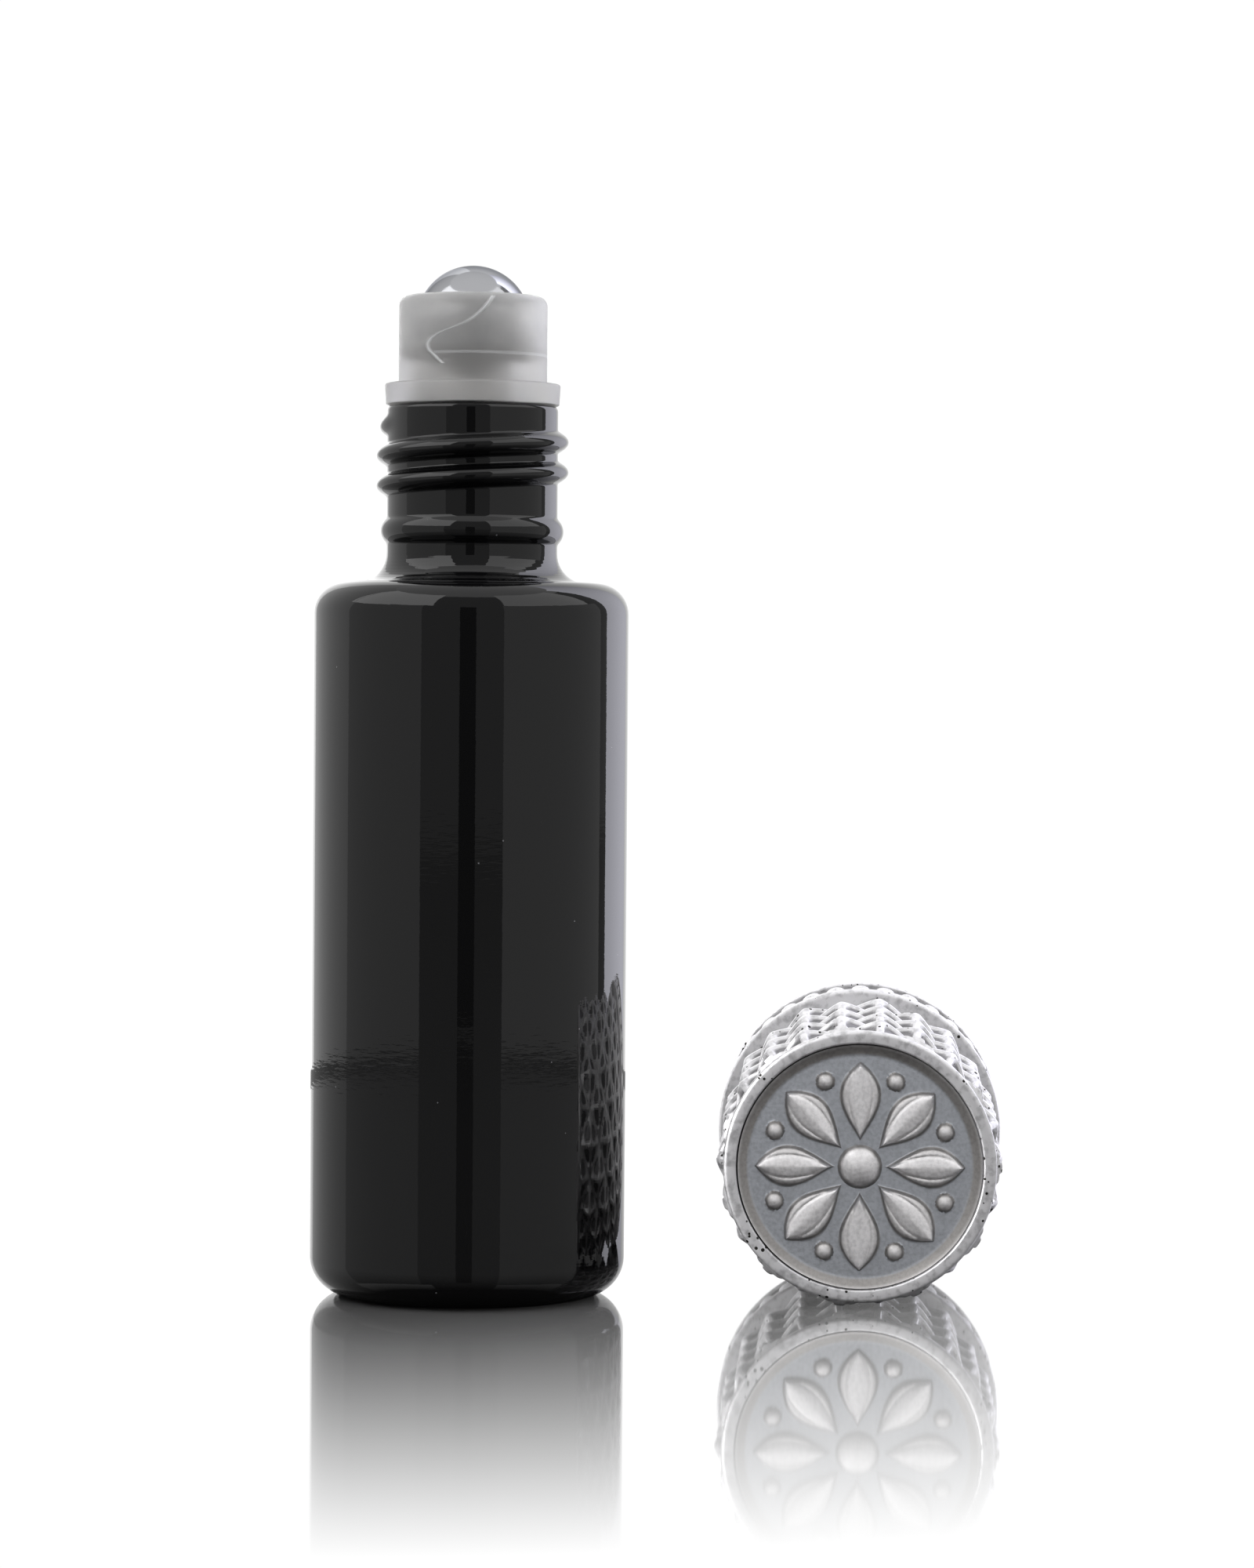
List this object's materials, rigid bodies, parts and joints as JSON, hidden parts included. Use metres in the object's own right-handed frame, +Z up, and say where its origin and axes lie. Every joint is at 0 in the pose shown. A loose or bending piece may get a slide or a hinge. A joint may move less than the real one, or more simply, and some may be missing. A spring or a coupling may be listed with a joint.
{
  "type": "roll on bottle",
  "caption": "Slim gloss black glass roll-on bottle with a steel ball in a plug housing; its loose metal screw cap, with diamond-point studs and a relief end, lies beside it.",
  "frame": {"origin": "centre of the bottle's base, on the surface that it stands on", "axes": "+Z up along the bottle's axis, +X from the bottle to the cap that lies beside it, -Y towards the front, where the cap's closed end points"},
  "size_m": [0.0496, 0.0313, 0.0717],
  "materials": {
    "black_glass": "gloss",
    "natural_polyethylene": "satin",
    "polished_steel": "polished",
    "cast_white_metal": "satin",
    "relief_metal": "satin",
    "lining_plastic": "satin",
    "pad_foam": "matte"
  },
  "bodies": {
    "bottle": {"glass_bottle": "black_glass", "roller_housing": "natural_polyethylene"},
    "roller": {"roller_ball": "polished_steel"},
    "cap": {"cap_shell": "cast_white_metal", "cap_medallion": "relief_metal", "cap_thread_insert": "lining_plastic", "cap_seal_pad": "pad_foam"}
  },
  "joints": [
    {"name": "roller_spin", "type": "hinge", "parent": "bottle", "child": "roller", "pos_m": [0, 0, 0.0677], "axis": [1, 0, 0], "continuous": true},
    {"name": "cap_lift", "type": "slide", "parent": "bottle", "child": "cap", "axis": [0, 0, 1], "range_m": [0, 0.075]}
  ]
}
